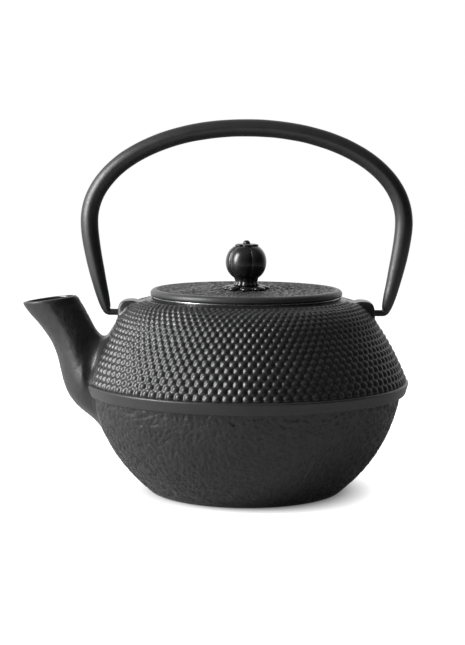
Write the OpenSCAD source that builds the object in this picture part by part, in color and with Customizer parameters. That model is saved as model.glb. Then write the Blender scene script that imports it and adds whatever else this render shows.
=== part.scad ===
// Cast iron teapot with a bail handle, a flat lid with a lobed knob, and a stainless strainer
// that hangs in the mouth. The spout points along -X, the handle hinges about an axis along X,
// and the origin is the centre of the base. Sizes are in millimetres.

/* [Pot] */
// Radius of the flat base
base_r = 48.3; // [46:0.1:50]
// Thickness of the cast wall
wall = 3.5; // [3:0.1:4]
// Widest radius of the band between the bowl and the shoulder
band_r = 82; // [81:0.1:84]
// Height of the seat that the strainer's flange rests on
seat_z = 97.5; // [96.5:0.1:98]
// Outer radius of that seat
seat_r = 47.8; // [47:0.1:49]
// Radius of the mouth
mouth_r = 42.5; // [42:0.1:43.5]

/* [Spout] */
// Half the width of the spout's mouth
mouth_half_w = 11; // [10:0.1:13]
// Half the width that the spout widens towards at its root
root_half_w = 23; // [20:0.1:24]
// Thickness of the spout's wall
spout_wall = 2.6; // [2.2:0.1:3]

/* [Lugs and handle] */
// Height of the handle's hinge axis
hinge_z = 89.6; // [89:0.1:90]
// Radius of the pin at each end of the handle
pin_r = 1.6; // [1.4:0.05:1.8]
// Radial clearance of the pin in its lug
pin_clearance = 0.05; // [0.02:0.01:0.1]
// Distance from the pot's axis to a lug's outer face
lug_face_x = 65.3; // [65:0.1:66]
// Half the width of a lug
lug_half_w = 8; // [7:0.1:9]
// Distance from the pot's axis to the middle of the bar at its widest
bail_half_w = 78.9; // [78:0.1:80]
// Height of the middle of the bar at its top
bail_top_z = 182.15; // [178:0.05:186]
// Half the thickness of the bar from front to back
bar_half_depth = 3.9; // [3.4:0.1:4.4]

/* [Lid and knob] */
// Radius of the lid
lid_r = 48.3; // [48:0.1:49]
// Thickness of the lid's plate
lid_t = 3.6; // [3.2:0.1:4]
// Radius of the ball of the knob
knob_r = 10.35; // [9.5:0.05:11]
// Number of lobes on the knob
knob_lobes = 5; // [4:1:6]
// Number of petals on the washer under the knob
rosette_petals = 8; // [6:1:10]

/* [Strainer] */
// Radius of the strainer's flange
flange_r = 47; // [46:0.1:47.2]
// Thickness of the flange
flange_t = 0.7; // [0.6:0.05:0.8]
// Outer radius of the strainer's collar
collar_r = 41.6; // [41:0.1:41.8]
// Depth of the strainer below the seat
strainer_depth = 46.5; // [40:0.5:47]

/* [Hidden] */
$fn = 96;

iron = [0.07, 0.07, 0.075];
gloss_black = [0.03, 0.03, 0.035];
steel = [0.75, 0.75, 0.76];

// Outline of the pot: three arcs, joined by the band and the land round the mouth
bowl_arc_r = 77.9;
bowl_top = [78.2, 50.1];
band_foot = [80.6, 50.5];
band_widest = [band_r, 55.2];
shoulder_arc_r = 129.4;
shoulder_foot = [81.4, 56.5];
shoulder_top = [66.7, 84.2];
crown_arc_r = 25.7;
crown_top = [57, 95.1];
// The cavity follows the outside at one wall's distance
floor_t = 4;
cavity_waist = [75.7, 60.5];
cavity_floor_r = 45.6;
cavity_shoulder = [63.8, 82.2];
cavity_crown = [55.1, 92.1];
mouth_lip_z = 93.8;

// Side view of the spout: its front from lip to root, and its back from lip to inside the pot
spout_front = [[-112.6, 94.6], [-112.6, 86.1], [-75.6, 70.7], [-108.8, 51.9], [-76, 36]];
spout_back = [[-85.3, 98], [-75, 82], [-68, 66], [-66, 36]];
root_closing = 0.96;
spout_rings = 22;
spout_sides = 32;
// The channel starts above the spout's root, and runs out past its mouth
channel_end = 0.78;
mouth_overrun = 1.5;
channel_reach = 6;

// Lug outline in side view, and the blind hole in it
lug_inner_x = 56;
lug_top_z = 96.6;
pin_end_x = 59;
hole_end_x = 58.6;

// Handle: a small bend at the pin, a slanting leg, and a nearly elliptical top
leg_foot = [70.6, 91.4];
leg_pull = [71, 93];
leg_head_z = 134.9;
leg_head_pull = 13.3;
bail_power = 2.067;
bend_r = 2.4;
bend_end_angle = 15.4;
bar_sides = 16;
leg_rings = 12;
top_rings = 22;
// Half the thickness of the bar in side view, at the pin, along the leg and at the top
foot_half_t = 2.15;
leg_half_t = 4.42;
top_half_t = 4.35;

// Lid and knob
lid_z = seat_z + flange_t;
lid_top_z = lid_z + lid_t;
skirt_r = 39.6;
skirt_t = 3;
skirt_drop = 7;
rosette_t = 1.6;
rosette_r = 12;
knob_neck_r = 6;
knob_z = 115.2;
knob_half_h = 8.4;
knob_top_z = 126.4;
screw_r = 1.9;
screw_clearance = 0.1;
screw_top_z = 114;
screw_head_r = 3.8;
screw_head_h = 2.4;
screw_slot_w = 1;
screw_slot_depth = 1.2;
washer_r = 5.5;
washer_t = 0.8;

// Strainer
sheet_t = 0.5;
mesh_t = 0.45;
mesh_gap = 0.05;
collar_drop = 7;
ring_h = 3.5;
ring_lip_r = 38;
base_z = seat_z - strainer_depth;

// A point on a Bezier curve with any number of control points
function bezier(p, t) = len(p) == 1
    ? p[0]
    : bezier([for (i = [0 : len(p) - 2]) p[i] * (1 - t) + p[i + 1] * t], t);

// Points on an arc of radius r from p to q, bulging away from the Z axis
function arc_between(p, q, r, n = 12) =
    let (mid = (p + q) / 2,
         half = norm(q - p) / 2,
         along = (q - p) / norm(q - p),
         inward = [-along[1], along[0]],
         c = mid + inward * sqrt(r * r - half * half),
         a0 = atan2(p[1] - c[1], p[0] - c[0]),
         a1 = atan2(q[1] - c[1], q[0] - c[0]))
    [for (i = [0 : n]) let (a = a0 + (a1 - a0) * i / n) c + r * [cos(a), sin(a)]];

// Signed power, for superellipses
function spow(v, e) = sign(v) * pow(abs(v), e);

// A closed solid through a list of rings that all have the same number of points
module loft(rings) {
    m = len(rings[0]);
    last = len(rings) - 1;
    points = [for (ring = rings) for (p = ring) p];
    sides = [for (i = [0 : last - 1], k = [0 : m - 1])
        let (a = i * m + k, b = i * m + (k + 1) % m)
        each [[a, b, b + m], [a, b + m, a + m]]];
    caps = [[for (k = [m - 1 : -1 : 0]) k], [for (k = [0 : m - 1]) last * m + k]];
    polyhedron(points, concat(sides, caps), convexity = 6);
}

// Half the spout's width at a fraction t of the way from its mouth to its root: it widens
// steadily, and then closes quickly at the bottom of the root
function spout_half_w(t) =
    (mouth_half_w + (root_half_w - mouth_half_w) * t * t) * sqrt(1 - root_closing * pow(t, 8));

// One ring of the spout, drawn in from the outside by inset, and lengthened at the back by reach
function spout_ring(t, inset, reach, lift) =
    let (f = bezier(spout_front, t) + [inset, lift],
         b = bezier(spout_back, t) + [reach - inset, lift],
         w = spout_half_w(t) - inset)
    [for (k = [0 : spout_sides - 1])
        let (a = 360 * k / spout_sides, s = (1 - cos(a)) / 2)
        [f[0] + (b[0] - f[0]) * s, w * sin(a), f[1] + (b[1] - f[1]) * s]];

module spout_outside() {
    loft([for (i = [spout_rings : -1 : 0]) spout_ring(i / spout_rings, 0, 0, 0)]);
}

module spout_channel() {
    inside = [for (i = [spout_rings : -1 : 0])
        let (t = channel_end * i / spout_rings)
        spout_ring(t, spout_wall, channel_reach * t, 0)];
    loft(concat(inside, [spout_ring(0, spout_wall, 0, mouth_overrun)]));
}

module pot_outside() {
    rotate_extrude()
    polygon(concat(
        [[0, 0]],
        arc_between([base_r, 0], bowl_top, bowl_arc_r),
        [band_foot],
        arc_between(band_widest, shoulder_foot, 2, 4),
        arc_between(shoulder_foot, shoulder_top, shoulder_arc_r, 8),
        arc_between(shoulder_top, crown_top, crown_arc_r, 8),
        [[seat_r, seat_z], [0, seat_z]]));
}

module pot_cavity() {
    rotate_extrude()
    polygon(concat(
        [[0, floor_t]],
        arc_between([cavity_floor_r, floor_t], cavity_waist, bowl_arc_r - wall),
        arc_between(cavity_waist, cavity_shoulder, shoulder_arc_r - wall, 8),
        arc_between(cavity_shoulder, cavity_crown, crown_arc_r - wall, 8),
        [[mouth_r + 1.5, mouth_lip_z], [mouth_r, mouth_lip_z + 1.5],
         [mouth_r, seat_z + 1], [0, seat_z + 1]]));
}

// The lug's rounded outline in side view, cut to a rounded outline in plan
module lug() {
    intersection() {
        rotate([90, 0, 0])
        linear_extrude(2 * lug_half_w, center = true)
        polygon(concat(
            [[lug_inner_x, 84], [lug_face_x - 1, 84]],
            arc_between([lug_face_x, 90.5], [lug_face_x - 5.3, lug_top_z], 6, 6),
            [[lug_inner_x + 1, lug_top_z - 0.4], [lug_inner_x, lug_top_z - 2]]));
        translate([lug_face_x - lug_half_w, 0, 80])
        cylinder(r = lug_half_w, h = 20);
    }
}

// The blind hole that a handle pin turns in
module pin_hole() {
    translate([hole_end_x, 0, hinge_z])
    rotate([0, 90, 0])
    cylinder(r = pin_r + pin_clearance, h = lug_face_x - hole_end_x + 5);
}

module pot() {
    color(iron)
    difference() {
        union() {
            difference() {
                union() {
                    pot_outside();
                    spout_outside();
                }
                pot_cavity();
            }
            lug();
            mirror([1, 0, 0]) lug();
        }
        spout_channel();
        pin_hole();
        mirror([1, 0, 0]) pin_hole();
    }
}

// Places on the middle of the bar, from the bend at the pin up to the top
function bend_point(t) =
    let (c = leg_foot + bend_r * [-cos(bend_end_angle), sin(bend_end_angle)],
         a = -90 + (90 - bend_end_angle) * t)
    c + bend_r * [cos(a), sin(a)];
function leg_point(t) =
    bezier([leg_foot, leg_pull, [bail_half_w, leg_head_z - leg_head_pull],
            [bail_half_w, leg_head_z]], t);
function top_point(t) =
    [bail_half_w * spow(cos(90 * t), 2 / bail_power),
     leg_head_z + (bail_top_z - leg_head_z) * spow(sin(90 * t), 2 / bail_power)];

// The bar's middle line and its half thickness at each ring, as [x, z, half thickness, half depth]
half_bar = concat(
    [for (i = [0 : 3]) let (p = bend_point(i / 4), s = i / 4)
        [p[0], p[1], pin_r + (foot_half_t - pin_r) * s, pin_r + (foot_half_t - pin_r) * s]],
    [for (i = [0 : leg_rings - 1]) let (t = i / leg_rings, p = leg_point(t), s = 1 - pow(1 - t, 2))
        [p[0], p[1], foot_half_t + (leg_half_t - foot_half_t) * s,
         foot_half_t + (bar_half_depth - foot_half_t) * s]],
    [for (i = [0 : top_rings]) let (p = top_point(i / top_rings), s = i / top_rings)
        [p[0], p[1], leg_half_t + (top_half_t - leg_half_t) * s, bar_half_depth]]);
half_count = len(half_bar);
whole_bar = concat(
    half_bar,
    [for (i = [half_count - 2 : -1 : 0]) [-half_bar[i][0], half_bar[i][1], half_bar[i][2], half_bar[i][3]]]);

// Section of the bar: nearly round at the pin, and with a soft ridge front and back above it
function bar_ring(i) =
    let (here = whole_bar[i],
         before = whole_bar[max(i - 1, 0)],
         after = whole_bar[min(i + 1, len(whole_bar) - 1)],
         d = [after[0] - before[0], after[1] - before[1]],
         n = [-d[1], d[0]] / norm(d),
         power = here[3] > 3 ? 1.7 : 2)
    [for (k = [0 : bar_sides - 1])
        let (a = 360 * k / bar_sides,
             across = here[2] * spow(cos(a), 2 / power),
             deep = here[3] * spow(sin(a), 2 / power))
        [here[0] + n[0] * across, deep, here[1] + n[1] * across]];

module handle_pin() {
    foot = bend_point(0);
    translate([pin_end_x, 0, hinge_z])
    rotate([0, 90, 0])
    cylinder(r = pin_r, h = foot[0] - pin_end_x + 0.5);
}

module handle() {
    color(iron)
    union() {
        loft([for (i = [0 : len(whole_bar) - 1]) bar_ring(i)]);
        handle_pin();
        mirror([1, 0, 0]) handle_pin();
    }
}

module lid() {
    color(iron)
    difference() {
        rotate_extrude()
        polygon(concat(
            [[0, lid_z]],
            [[skirt_r - skirt_t, lid_z], [skirt_r - skirt_t + 0.5, lid_z - skirt_drop],
             [skirt_r - 0.5, lid_z - skirt_drop], [skirt_r, lid_z]],
            [[lid_r - 1, lid_z]],
            arc_between([lid_r - 1, lid_z], [lid_r, lid_z + 1.1], 1.4, 3),
            arc_between([lid_r, lid_z + 1.9], [lid_r - 2.2, lid_top_z - 0.1], 2.4, 5),
            [[rosette_r, lid_top_z], [0, lid_top_z]]));
        translate([0, 0, lid_z - 1])
        cylinder(r = screw_r + 0.3, h = lid_t + 2);
    }
}

// Plan of the ball of the knob: a ring of touching lobes
module knob_plan() {
    lobe_r = knob_r * 0.55;
    circle(r = knob_r * 0.7);
    for (i = [0 : knob_lobes - 1])
        rotate(i * 360 / knob_lobes + 16)
        translate([0, -(knob_r - lobe_r)])
        circle(r = lobe_r);
}

module knob() {
    top = knob_z + knob_half_h;
    bottom = knob_z - knob_half_h;
    color(gloss_black)
    difference() {
        union() {
            intersection() {
                rotate_extrude()
                polygon(concat(
                    [[0, bottom], [knob_neck_r, bottom + 0.4]],
                    [for (i = [1 : 15]) let (a = -68 + 136 * i / 15)
                        [knob_r * cos(a), knob_z + knob_half_h * sin(a)]],
                    [[0, top]]));
                translate([0, 0, bottom - 1])
                linear_extrude(2 * knob_half_h + 2)
                knob_plan();
            }
            // Neck
            rotate_extrude()
            polygon([[0, lid_top_z + rosette_t], [knob_neck_r + 0.5, lid_top_z + rosette_t],
                     [knob_neck_r - 0.3, lid_top_z + rosette_t + 2],
                     [knob_neck_r, bottom + 2.5], [0, bottom + 2.5]]);
            // Calyx and its nub
            rotate_extrude()
            polygon([[0, top - 2], [6, top - 2], [6, top - 0.6], [4.6, top + 0.6],
                     [2.4, top + 1], [1.9, knob_top_z - 0.5], [1.2, knob_top_z],
                     [0, knob_top_z]]);
        }
        translate([0, 0, lid_top_z])
        cylinder(r = screw_r + screw_clearance, h = screw_top_z - lid_top_z + 1);
    }
}

module knob_rosette() {
    petal_r = rosette_r * 0.3;
    color(gloss_black)
    translate([0, 0, lid_top_z])
    linear_extrude(rosette_t)
    difference() {
        union() {
            circle(r = rosette_r - petal_r * 0.7);
            for (i = [0 : rosette_petals - 1])
                rotate(i * 360 / rosette_petals)
                translate([rosette_r - petal_r, 0])
                circle(r = petal_r);
        }
        circle(r = screw_r + 0.3);
    }
}

module knob_screw() {
    head_z = lid_z - washer_t;
    color(steel)
    difference() {
        union() {
            translate([0, 0, head_z])
            cylinder(r = screw_r, h = screw_top_z - head_z);
            rotate_extrude()
            polygon([[0, head_z], [screw_head_r, head_z], [screw_head_r, head_z - 1],
                     [screw_head_r - 1, head_z - screw_head_h], [0, head_z - screw_head_h]]);
        }
        translate([-screw_head_r, -screw_slot_w / 2, head_z - screw_head_h - 1])
        cube([2 * screw_head_r, screw_slot_w, screw_slot_depth + 1]);
    }
}

module knob_washer() {
    color(steel)
    translate([0, 0, lid_z - washer_t])
    difference() {
        cylinder(r = washer_r, h = washer_t);
        translate([0, 0, -1])
        cylinder(r = screw_r + 0.3, h = washer_t + 2);
    }
}

// The drawn sheet that forms the strainer's flange and collar
module infuser_rim() {
    collar_inner = collar_r - sheet_t;
    color(steel)
    rotate_extrude()
    polygon([[collar_inner, seat_z - collar_drop], [collar_r, seat_z - collar_drop],
             [collar_r, seat_z], [flange_r - 0.2, seat_z], [flange_r, seat_z + 0.2],
             [flange_r, seat_z + flange_t - 0.2], [flange_r - 0.2, seat_z + flange_t],
             [collar_inner + 0.8, seat_z + flange_t], [collar_inner, seat_z + flange_t - 0.8]]);
}

// The mesh, as a thin closed tube
module infuser_wall() {
    mesh_r = collar_r - sheet_t - mesh_gap;
    z0 = base_z + sheet_t + mesh_t;
    color(steel)
    translate([0, 0, z0])
    difference() {
        cylinder(r = mesh_r, h = seat_z - 1 - z0);
        translate([0, 0, -1])
        cylinder(r = mesh_r - mesh_t, h = seat_z - z0 + 2);
    }
}

// The crimped channel round the strainer's floor
module infuser_base_ring() {
    inner = collar_r - sheet_t;
    color(steel)
    rotate_extrude()
    polygon([[ring_lip_r, base_z], [collar_r, base_z], [collar_r, base_z + ring_h],
             [inner, base_z + ring_h], [inner, base_z + sheet_t],
             [ring_lip_r, base_z + sheet_t]]);
}

module infuser_base() {
    color(steel)
    translate([0, 0, base_z + sheet_t])
    cylinder(r = collar_r - sheet_t - mesh_gap, h = mesh_t);
}

pot();
handle();
lid();
knob();
knob_rosette();
knob_screw();
knob_washer();
infuser_rim();
infuser_wall();
infuser_base_ring();
infuser_base();
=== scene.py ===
"""The looks of a cast iron teapot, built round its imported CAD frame."""
import math

import bmesh
import bpy
import numpy as np
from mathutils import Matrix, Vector


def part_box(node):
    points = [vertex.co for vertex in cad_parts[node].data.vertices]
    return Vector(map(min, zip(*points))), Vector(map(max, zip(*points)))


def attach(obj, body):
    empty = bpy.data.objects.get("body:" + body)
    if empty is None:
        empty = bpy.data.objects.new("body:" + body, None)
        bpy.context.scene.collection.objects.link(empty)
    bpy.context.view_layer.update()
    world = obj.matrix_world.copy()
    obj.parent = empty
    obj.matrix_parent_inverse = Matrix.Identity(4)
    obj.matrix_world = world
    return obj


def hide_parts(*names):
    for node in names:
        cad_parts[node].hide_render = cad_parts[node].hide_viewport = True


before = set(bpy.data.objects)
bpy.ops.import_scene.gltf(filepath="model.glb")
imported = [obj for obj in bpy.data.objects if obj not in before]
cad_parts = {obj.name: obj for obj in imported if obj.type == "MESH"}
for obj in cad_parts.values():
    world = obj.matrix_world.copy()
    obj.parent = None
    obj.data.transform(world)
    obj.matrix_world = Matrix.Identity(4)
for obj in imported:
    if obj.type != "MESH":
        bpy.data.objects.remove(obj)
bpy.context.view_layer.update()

MM = 0.001
TAU = 2 * math.pi

# ---------------------------------------------------------------- sizes, in millimetres
POT_HIGH = np.array(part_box("pot")[1]) / MM
LID_LOW, LID_HIGH = (np.array(corner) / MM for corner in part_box("lid"))
RIM_HIGH = np.array(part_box("infuser_rim")[1]) / MM
KNOB_LOW, KNOB_HIGH = (np.array(corner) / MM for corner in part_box("knob"))

# Outline of the pot, as in the CAD model, over the tips of the hobnails
BASE_R = 48.3
BOWL_ARC_R = 77.9
BOWL_TOP = (78.2, 50.1)
BAND_WIDEST = (POT_HIGH[1], 55.2)
SHOULDER_ARC_R = 129.4
SHOULDER_FOOT = (81.4, 56.5)
SHOULDER_TOP = (66.7, 84.2)
CROWN_ARC_R = 25.7
CROWN_TOP = (57.0, 95.1)
SEAT_Z = RIM_HIGH[2] - 0.7
SEAT_R = 47.8
MOUTH_R = 42.5
WALL = 3.5
FLOOR_Z = 4.0
CAVITY_WAIST = (75.7, 60.5)
CAVITY_FLOOR_R = 45.6
CAVITY_SHOULDER = (63.8, 82.2)
CAVITY_CROWN = (55.1, 92.1)
MOUTH_LIP_Z = 93.8

# Hobnails
NAILS_PER_ROW = 108
NAIL_ROWS = 18
NAILS_END_R = 50.8
NAILS_FADE = 1.4
NAIL_HEIGHT = 0.27
SAMPLES_PER_NAIL = 8
SAMPLES_PER_ROW = 5

# Spout, as in the CAD model
SPOUT_FRONT = [(-112.6, 94.6), (-112.5, 85.4), (-75.4, 70.3), (-110.8, 48.2), (-73.8, 34.4)]
SPOUT_BACK = [(-85.3, 98), (-75, 82), (-68, 66), (-66, 36)]
MOUTH_HALF_W = 11.0
ROOT_HALF_W = 23.0
ROOT_CLOSING = 0.96
SPOUT_WALL = 2.6
CHANNEL_END = 0.78
CHANNEL_REACH = 6.0

# Lugs and handle
HINGE_Z = 89.6
LUG_FACE_X = 65.3
LUG_TOP_Z = 96.6
LUG_HALF_W = 8.0
PIN_R = 1.6
PIN_HOLE_R = 1.65
PIN_END_X = 59.0
HOLE_END_X = 58.6
BEND_R = 2.4
BEND_END = math.radians(15.4)
LEG_FOOT = (70.6, 91.4)
LEG_PULL = (71.0, 93.0)
LEG_HEAD_Z = 134.9
LEG_HEAD_PULL = 13.3
BAIL_HALF_W = 78.9
BAIL_TOP_Z = 182.15
BAIL_POWER = 2.067
FOOT_HALF_T = 2.15
LEG_HALF_T = 4.5
TOP_HALF_T = 4.35
BAR_HALF_DEPTH = 3.9

# Lid, knob and strainer
SKIRT_R = 39.6
SCREW_R = 1.9
SCREW_TOP_Z = 114.0
ROSETTE_R = 12.0
ROSETTE_PETALS = 8
KNOB_LOBES = 5
KNOB_LOBE_R = 10.35
KNOB_MIDDLE_Z = 115.2
KNOB_HALF_H = 8.4
COLLAR_R = 41.6
SHEET_T = 0.5
RING_LIP_R = 38.0

# Stage: the floor lies just under the base, so the two surfaces do not flicker
FLOOR_DROP = -0.05
# Where the floor's painted contact shadow ends, in millimetres from the axis
SHADOW_END_R = 66
KEY_PLACE = (-760, -260, 430)
KEY_TARGET = (0, 0, 70)
KEY_SIZE = (260, 640)
KEY_POWER = 15
CAMERA_PLACE = (-7.3, -780, 169.1)
CAMERA_PITCH = 6.19
CAMERA_ROLL = -0.28
CAMERA_LENS = 86.67


# ---------------------------------------------------------------- meshes
def mesh_object(name, points, faces, materials, face_material=None, smooth=True):
    """A mesh from points in millimetres and a list of faces."""
    mesh = bpy.data.meshes.new(name)
    mesh.from_pydata((np.asarray(points) * MM).tolist(), [], faces)
    mesh.update()
    body = bmesh.new()
    body.from_mesh(mesh)
    if body.calc_volume(signed=True) < 0:
        mesh.flip_normals()
    body.free()
    for material in materials:
        mesh.materials.append(material)
    if face_material is not None:
        mesh.polygons.foreach_set("material_index", np.asarray(face_material, np.int32))
    mesh.polygons.foreach_set("use_smooth", np.full(len(mesh.polygons), smooth))
    obj = bpy.data.objects.new(name, mesh)
    bpy.context.scene.collection.objects.link(obj)
    return obj


def grid_faces(rows, columns, close_rows=False, close_columns=True, start=0):
    """Quads over a grid of rows by columns whose points are numbered row by row."""
    index = np.arange(rows * columns).reshape(rows, columns) + start
    if close_rows:
        index = np.vstack([index, index[:1]])
    if close_columns:
        index = np.hstack([index, index[:, :1]])
    quads = np.stack([index[:-1, :-1], index[:-1, 1:], index[1:, 1:], index[1:, :-1]], axis=-1)
    return quads.reshape(-1, 4).tolist()


def polar(r, theta, z):
    """Points from radius, angle and height."""
    return np.stack([r * np.cos(theta), r * np.sin(theta), z + 0 * theta], axis=-1)


def turned(profile, theta):
    """The points of a profile of (r, z) turned about the Z axis, as rows by angles by 3."""
    profile = np.asarray(profile, float)
    return polar(profile[:, :1], theta, profile[:, 1:])


def lathe(name, profile, materials, steps=96):
    """A closed outline of (r, z) points turned into a solid; an end on the axis becomes a pole."""
    profile = [tuple(p) for p in profile]
    poles = profile[0][0] == 0 and profile[-1][0] == 0
    theta = np.arange(steps) / steps * TAU
    ring_profile = profile[1:-1] if poles else profile
    points = turned(ring_profile, theta).reshape(-1, 3)
    rows = len(ring_profile)
    faces = grid_faces(rows, steps, close_rows=not poles)
    if poles:
        first, last = len(points), len(points) + 1
        points = np.vstack([points, [(0, 0, profile[0][1]), (0, 0, profile[-1][1])]])
        faces += [(first, (k + 1) % steps, k) for k in range(steps)]
        top = (rows - 1) * steps
        faces += [(last, top + k, top + (k + 1) % steps) for k in range(steps)]
    return mesh_object(name, points, faces, materials)


def radial_solid(name, rings, materials, end=None):
    """A closed solid through rings of equal point counts, drawn shut at both ends."""
    rings = np.asarray(rings)
    count, sides = rings.shape[:2]
    end = rings[-1].mean(axis=0) if end is None else end
    points = np.vstack([rings.reshape(-1, 3), [rings[0].mean(axis=0), end]])
    faces = grid_faces(count, sides)
    first, last, base = count * sides, count * sides + 1, (count - 1) * sides
    faces += [(first, (k + 1) % sides, k) for k in range(sides)]
    faces += [(last, base + k, base + (k + 1) % sides) for k in range(sides)]
    return mesh_object(name, points, faces, materials)


def applied(obj):
    """Replaces an object's mesh with the one that its modifiers make."""
    graph = bpy.context.evaluated_depsgraph_get()
    mesh = bpy.data.meshes.new_from_object(obj.evaluated_get(graph))
    obj.modifiers.clear()
    obj.data = mesh
    return obj


def cut(obj, cutter):
    """Takes the cutter's solid out of an object."""
    modifier = obj.modifiers.new("cut", "BOOLEAN")
    modifier.operation = "DIFFERENCE"
    modifier.solver = "EXACT"
    modifier.object = cutter
    return applied(obj)


def value_noise(points, cell, seed=0):
    """Smooth noise from -1 to 1 at points in millimetres, with features of about one cell."""
    p = np.asarray(points, float) / cell
    base = np.floor(p).astype(np.int64)
    f = p - base
    f = f * f * f * (f * (f * 6 - 15) + 10)
    total = np.zeros(len(p))
    for corner in range(8):
        step = np.array([(corner >> axis) & 1 for axis in range(3)])
        cell_id = base + step
        h = (cell_id[:, 0] * 73856093) ^ (cell_id[:, 1] * 19349663) ^ (cell_id[:, 2] * 83492791)
        h = (h + seed * 374761393) & 0xFFFFFFFF
        h = ((h ^ (h >> 13)) * 1274126177) & 0xFFFFFFFF
        value = ((h ^ (h >> 16)) & 0xFFFF) / 32767.5 - 1
        weight = np.prod(np.where(step, f, 1 - f), axis=1)
        total += value * weight
    return total


def smoothstep(low, high, x):
    t = np.clip((x - low) / (high - low), 0, 1)
    return t * t * (3 - 2 * t)


def bezier(control, t):
    """Points on a Bezier curve with any number of control points."""
    t = np.atleast_1d(np.asarray(t, float))[:, None]
    points = [np.array(p, float) + 0 * t for p in control]
    while len(points) > 1:
        points = [a * (1 - t) + b * t for a, b in zip(points, points[1:])]
    return points[0]


def arc_between(p, q, r, n):
    """Points on an arc of radius r from p to q, bulging away from the Z axis."""
    p, q = np.array(p, float), np.array(q, float)
    half = np.linalg.norm(q - p) / 2
    along = (q - p) / (2 * half)
    centre = (p + q) / 2 + np.array([-along[1], along[0]]) * math.sqrt(r * r - half * half)
    a0 = math.atan2(*(p - centre)[::-1])
    a1 = math.atan2(*(q - centre)[::-1])
    a = np.linspace(a0, a1, n + 1)
    return centre + r * np.stack([np.cos(a), np.sin(a)], axis=-1)


def lengths(line):
    """The distance along a polyline to each of its points."""
    return np.r_[0, np.cumsum(np.linalg.norm(np.diff(line, axis=0), axis=1))]


def resampled(line, distances):
    """Points on a polyline at distances along it, and the unit normals there, to its right."""
    line = np.asarray(line, float)
    length = lengths(line)
    points = np.stack([np.interp(distances, length, line[:, k]) for k in range(2)], axis=-1)
    eps = 0.4
    ahead = np.stack([np.interp(distances + eps, length, line[:, k]) for k in range(2)], axis=-1)
    behind = np.stack([np.interp(distances - eps, length, line[:, k]) for k in range(2)], axis=-1)
    d = ahead - behind
    d /= np.linalg.norm(d, axis=1)[:, None]
    return points, np.stack([d[:, 1], -d[:, 0]], axis=-1)


# ---------------------------------------------------------------- materials
def new_material(name):
    """An empty material, its nodes and links, and its Principled shader."""
    material = bpy.data.materials.new(name)
    material.use_nodes = True
    nodes, links = material.node_tree.nodes, material.node_tree.links
    shader = nodes["Principled BSDF"]
    return material, nodes, links, shader


def noise_node(nodes, links, scale, detail=4.0, roughness=0.55, stretch=None):
    """Object-space noise, scale in features per millimetre."""
    coordinates = nodes.new("ShaderNodeTexCoord")
    mapping = nodes.new("ShaderNodeMapping")
    mapping.inputs["Scale"].default_value = stretch or (1, 1, 1)
    links.new(coordinates.outputs["Object"], mapping.inputs["Vector"])
    noise = nodes.new("ShaderNodeTexNoise")
    noise.inputs["Scale"].default_value = scale / MM
    noise.inputs["Detail"].default_value = detail
    noise.inputs["Roughness"].default_value = roughness
    links.new(mapping.outputs["Vector"], noise.inputs["Vector"])
    return noise


def ranged(nodes, links, source, low, high, from_low=0.3, from_high=0.7):
    """A Map Range node from a noise value to a range."""
    node = nodes.new("ShaderNodeMapRange")
    node.inputs["From Min"].default_value = from_low
    node.inputs["From Max"].default_value = from_high
    node.inputs["To Min"].default_value = low
    node.inputs["To Max"].default_value = high
    links.new(source, node.inputs["Value"])
    return node.outputs["Result"]


def maths(nodes, links, operation, first, second):
    """A Math node on two values."""
    node = nodes.new("ShaderNodeMath")
    node.operation = operation
    links.new(first, node.inputs[0])
    links.new(second, node.inputs[1])
    return node.outputs["Value"]


def colour_mix(nodes, links, factor, dark, light):
    """A colour between two greys or colours, by a factor."""
    node = nodes.new("ShaderNodeMix")
    node.data_type = "RGBA"
    node.inputs["A"].default_value = (*dark, 1)
    node.inputs["B"].default_value = (*light, 1)
    links.new(factor, node.inputs["Factor"])
    return node.outputs["Result"]


def bump_chain(nodes, links, shader, layers):
    """Bump nodes one on another: each layer is a height output, a strength and a depth in mm."""
    previous = None
    for height, strength, depth in layers:
        bump = nodes.new("ShaderNodeBump")
        bump.inputs["Strength"].default_value = strength
        bump.inputs["Distance"].default_value = depth * MM
        links.new(height, bump.inputs["Height"])
        if previous is not None:
            links.new(previous.outputs["Normal"], bump.inputs["Normal"])
        previous = bump
    links.new(previous.outputs["Normal"], shader.inputs["Normal"])


def iron_material(name, dark, light, rough_low, rough_high, grain_depth, specular=0.5):
    """Black coated cast iron: a fine sandy grain, cloudy tone and uneven gloss."""
    material, nodes, links, shader = new_material(name)
    cloud = noise_node(nodes, links, 0.09, detail=3)
    grain = noise_node(nodes, links, 1.6, detail=3, roughness=0.6)
    speck = noise_node(nodes, links, 0.7, detail=2)
    tone = ranged(nodes, links, cloud.outputs["Fac"], 0, 1)
    links.new(colour_mix(nodes, links, tone, dark, light), shader.inputs["Base Color"])
    gloss = ranged(nodes, links, speck.outputs["Fac"], rough_low, rough_high)
    links.new(gloss, shader.inputs["Roughness"])
    shader.inputs["Specular IOR Level"].default_value = specular
    bump_chain(nodes, links, shader, [
        (speck.outputs["Fac"], 0.5, grain_depth * 1.5),
        (grain.outputs["Fac"], 0.6, grain_depth),
    ])
    return material


def gloss_material(name, dark, light, rough_low, rough_high, depth):
    """Black enamel or lacquer: nearly smooth, with a faint orange peel."""
    material, nodes, links, shader = new_material(name)
    cloud = noise_node(nodes, links, 0.12, detail=2)
    peel = noise_node(nodes, links, 0.5, detail=2)
    tone = ranged(nodes, links, cloud.outputs["Fac"], 0, 1)
    links.new(colour_mix(nodes, links, tone, dark, light), shader.inputs["Base Color"])
    gloss = ranged(nodes, links, cloud.outputs["Fac"], rough_low, rough_high)
    links.new(gloss, shader.inputs["Roughness"])
    bump_chain(nodes, links, shader, [(peel.outputs["Fac"], 0.4, depth)])
    return material


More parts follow.
